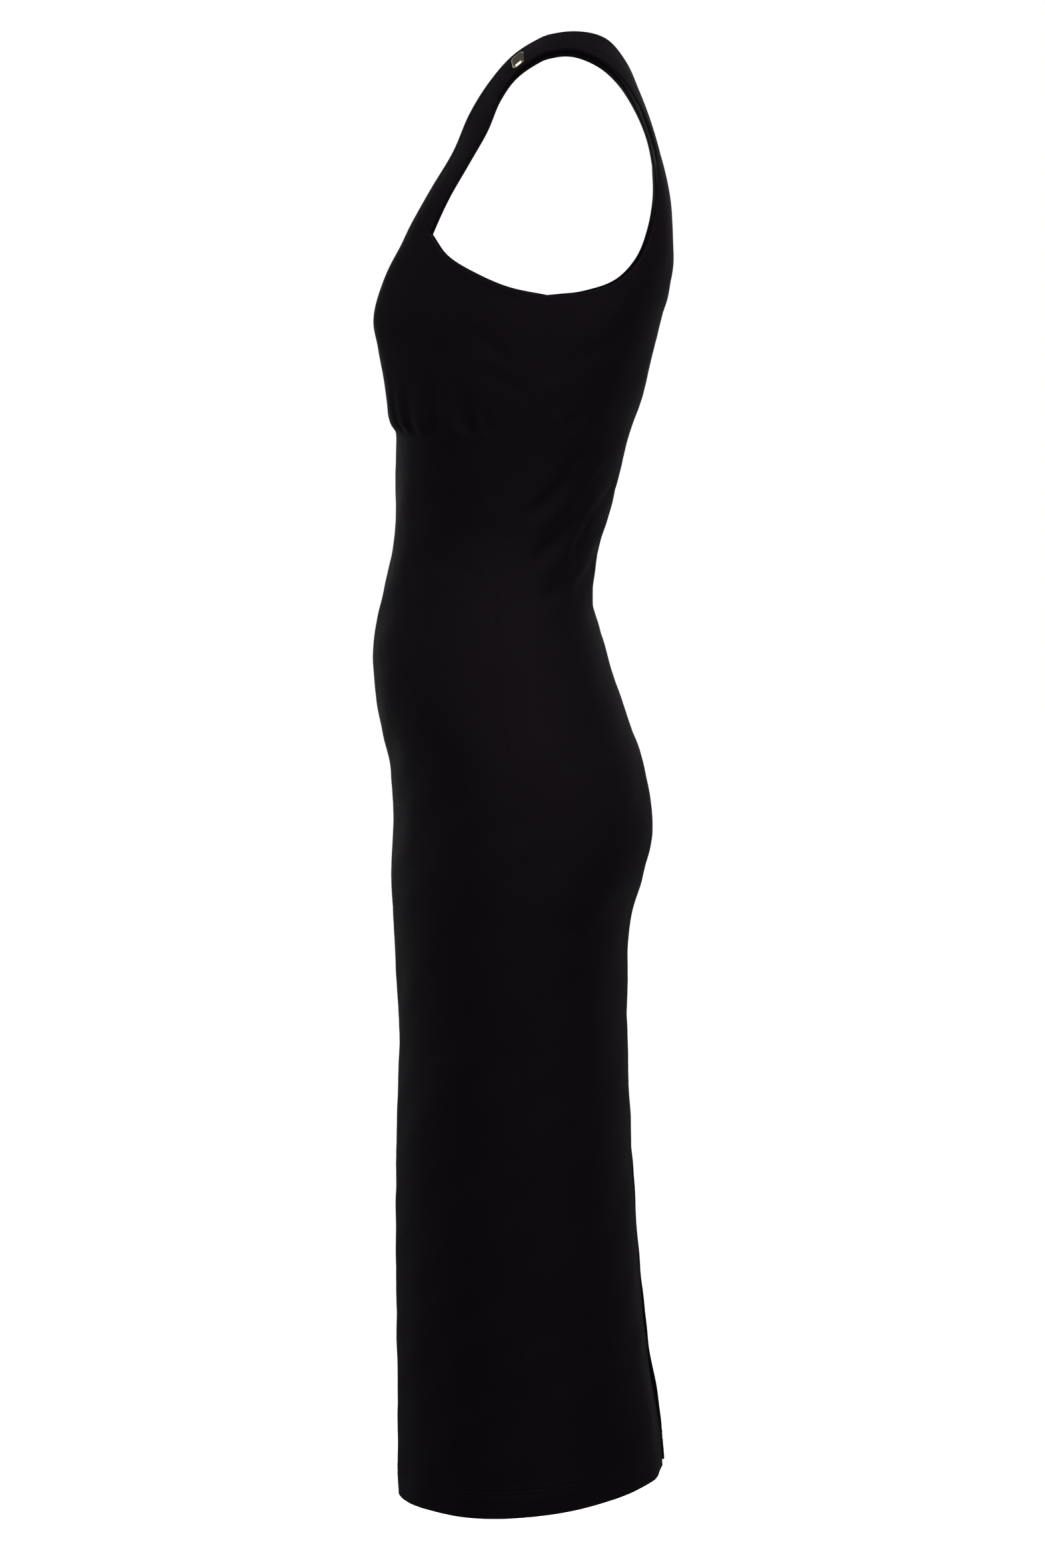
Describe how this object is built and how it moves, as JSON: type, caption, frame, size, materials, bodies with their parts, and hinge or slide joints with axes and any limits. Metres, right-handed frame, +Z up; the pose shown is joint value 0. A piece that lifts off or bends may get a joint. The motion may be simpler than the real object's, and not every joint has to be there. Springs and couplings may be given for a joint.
{
  "type": "midi dress",
  "caption": "Sleeveless fitted jersey midi dress with a gathered bust, wide shoulder straps and a slit at the centre back, in its worn hollow form.",
  "frame": {"origin": "midway between the tops of the two shoulder straps, where the shoulders carry the dress", "axes": "+Z up, -Y the way the wearer faces, +X the wearer's left"},
  "size_m": [0.3546, 0.2505, 1.2235],
  "materials": {
    "jersey": "matt black stretch jersey with a faint sheen",
    "pale_metal": "polished pale gold plate"
  },
  "bodies": {
    "root": {"cup_left": "jersey", "cup_right": "jersey", "strap_left": "jersey", "strap_right": "jersey", "front": "jersey", "back_left": "jersey", "back_right": "jersey", "strap_plate": "pale_metal"}
  },
  "joints": []
}
